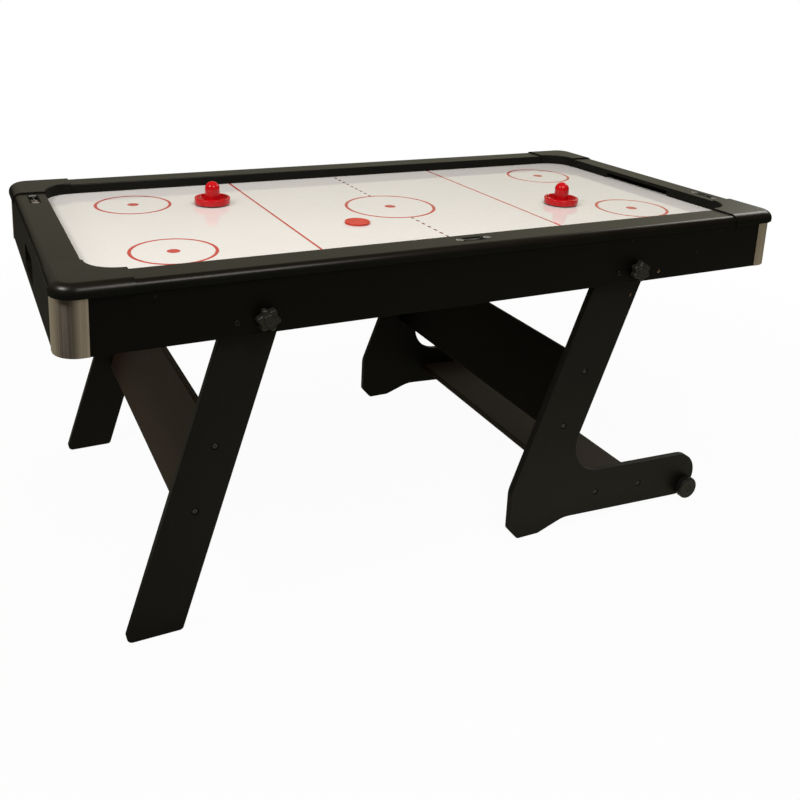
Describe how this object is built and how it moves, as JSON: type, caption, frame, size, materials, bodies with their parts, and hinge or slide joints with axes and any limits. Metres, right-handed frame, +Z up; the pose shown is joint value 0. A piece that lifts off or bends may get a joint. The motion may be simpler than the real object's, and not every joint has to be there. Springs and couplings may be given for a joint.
{
  "type": "air hockey table",
  "caption": "Folding air hockey table: glossy white playfield in dark rails with goals and scorers, on straight and L-shaped leg frames with clamp knobs and transport rollers.",
  "frame": {"origin": "centre of the footprint on the floor", "axes": "+X along the table to the end with the foot arms, +Y to the back, +Z up"},
  "size_m": [1.83, 0.9546, 0.8305],
  "materials": {
    "apron_laminate": "satin black laminate on board",
    "leg_laminate": "satin black laminate on board",
    "panel_laminate": "satin brown-black laminate on board",
    "rail_laminate": "satin dark grey-brown laminate on board",
    "cap_plastic": "satin dark grey-brown moulding",
    "post_metal": "brushed, warm grey",
    "playfield_white": "glossy white laminate on board, red lines and circles",
    "raw_board": "bare fibreboard",
    "black_plastic": "satin black",
    "bright_steel": "zinc plated",
    "scorer_silver": "silver",
    "red_gloss": "glossy red",
    "puck_red": "satin orange-red",
    "felt_black": "black felt"
  },
  "bodies": {
    "cabinet": {"playfield": "playfield_white", "bottom_panel": "raw_board", "plenum_strip_front": "raw_board", "plenum_strip_back": "raw_board", "plenum_strip_left": "raw_board", "plenum_strip_right": "raw_board", "front_apron": "apron_laminate", "back_apron": "apron_laminate", "left_end_apron": "apron_laminate", "right_end_apron": "apron_laminate", "corner_post_front_left": "post_metal", "corner_post_back_left": "post_metal", "corner_post_front_right": "post_metal", "corner_post_back_right": "post_metal", "corner_cap_front_left": "cap_plastic", "corner_cap_back_left": "cap_plastic", "corner_cap_front_right": "cap_plastic", "corner_cap_back_right": "cap_plastic", "rail_front": "rail_laminate", "rail_back": "rail_laminate", "rail_left": "rail_laminate", "rail_right": "rail_laminate", "goal_box_left": "black_plastic", "goal_box_right": "black_plastic", "lock_bolt_front_left": "black_plastic", "lock_bolt_back_left": "black_plastic", "lock_bolt_front_right": "black_plastic", "lock_bolt_back_right": "black_plastic", "scorer_tray_front": "scorer_silver", "scorer_tray_left": "scorer_silver", "scorer_tray_right": "scorer_silver", "fan_frame": "black_plastic", "fan_guard": "bright_steel", "switch_box": "black_plastic"},
    "left_leg_frame": {"left_leg_front": "leg_laminate", "left_leg_back": "leg_laminate", "left_cross_panel": "panel_laminate"},
    "right_leg_frame": {"right_leg_front": "leg_laminate", "right_leg_back": "leg_laminate", "right_cross_panel": "panel_laminate", "foot_board": "panel_laminate", "roller_axle_front": "bright_steel", "roller_axle_back": "bright_steel"},
    "roller_front": {"roller_front": "black_plastic"},
    "roller_back": {"roller_back": "black_plastic"},
    "knob_front_left": {"pivot_knob_front_left": "black_plastic"},
    "knob_back_left": {"pivot_knob_back_left": "black_plastic"},
    "knob_front_right": {"pivot_knob_front_right": "black_plastic"},
    "knob_back_right": {"pivot_knob_back_right": "black_plastic"},
    "bead_front": {"scorer_bead_front": "black_plastic"},
    "bead_left": {"scorer_bead_left": "black_plastic"},
    "bead_right": {"scorer_bead_right": "black_plastic"},
    "mallet_left": {"mallet_left": "red_gloss", "mallet_felt_left": "felt_black"},
    "mallet_right": {"mallet_right": "red_gloss", "mallet_felt_right": "felt_black"},
    "puck": {"puck": "puck_red"},
    "fan_impeller": {"fan_impeller": "black_plastic"},
    "switch_rocker": {"switch_rocker": "red_gloss"}
  },
  "joints": [
    {"name": "left_leg_fold", "type": "hinge", "parent": "cabinet", "child": "left_leg_frame", "pos_m": [-0.505, 0, 0.689], "axis": [0, -1, 0], "range_deg": [0, 107]},
    {"name": "right_leg_fold", "type": "hinge", "parent": "cabinet", "child": "right_leg_frame", "pos_m": [0.4485, 0, 0.6875], "axis": [0, -1, 0], "range_deg": [0, 75]},
    {"name": "roller_front_spin", "type": "hinge", "parent": "right_leg_frame", "child": "roller_front", "pos_m": [0.717, -0.447, 0.032], "axis": [0, 1, 0], "continuous": true},
    {"name": "roller_back_spin", "type": "hinge", "parent": "right_leg_frame", "child": "roller_back", "pos_m": [0.717, 0.447, 0.032], "axis": [0, 1, 0], "continuous": true},
    {"name": "knob_front_left_turn", "type": "hinge", "parent": "cabinet", "child": "knob_front_left", "pos_m": [-0.505, -0.465, 0.689], "axis": [0, -1, 0], "range_deg": [0, 720]},
    {"name": "knob_back_left_turn", "type": "hinge", "parent": "cabinet", "child": "knob_back_left", "pos_m": [-0.505, 0.465, 0.689], "axis": [0, 1, 0], "range_deg": [0, 720]},
    {"name": "knob_front_right_turn", "type": "hinge", "parent": "cabinet", "child": "knob_front_right", "pos_m": [0.4485, -0.465, 0.6875], "axis": [0, -1, 0], "range_deg": [0, 720]},
    {"name": "knob_back_right_turn", "type": "hinge", "parent": "cabinet", "child": "knob_back_right", "pos_m": [0.4485, 0.465, 0.6875], "axis": [0, 1, 0], "range_deg": [0, 720]},
    {"name": "bead_front_slide", "type": "slide", "parent": "cabinet", "child": "bead_front", "axis": [1, 0, 0], "range_m": [-0.0395, 0.0005]},
    {"name": "bead_left_slide", "type": "slide", "parent": "cabinet", "child": "bead_left", "axis": [0, 1, 0], "range_m": [-0.0395, 0.0005]},
    {"name": "bead_right_slide", "type": "slide", "parent": "cabinet", "child": "bead_right", "axis": [0, 1, 0], "range_m": [-0.0005, 0.0395]},
    {"name": "mallet_left_slide", "type": "slide", "parent": "cabinet", "child": "mallet_left", "axis": [0, 1, 0], "range_m": [-0.48, 0.16]},
    {"name": "mallet_right_slide", "type": "slide", "parent": "cabinet", "child": "mallet_right", "axis": [0, 1, 0], "range_m": [-0.205, 0.435]},
    {"name": "puck_slide", "type": "slide", "parent": "cabinet", "child": "puck", "axis": [1, 0, 0], "range_m": [-0.64, 0.53]},
    {"name": "fan_spin", "type": "hinge", "parent": "cabinet", "child": "fan_impeller", "pos_m": [0.12, 0, 0.67], "axis": [0, 0, 1], "continuous": true},
    {"name": "switch_rock", "type": "hinge", "parent": "cabinet", "child": "switch_rocker", "pos_m": [0.12, 0.16, 0.6777], "axis": [0, 1, 0], "range_deg": [0, 10]}
  ]
}
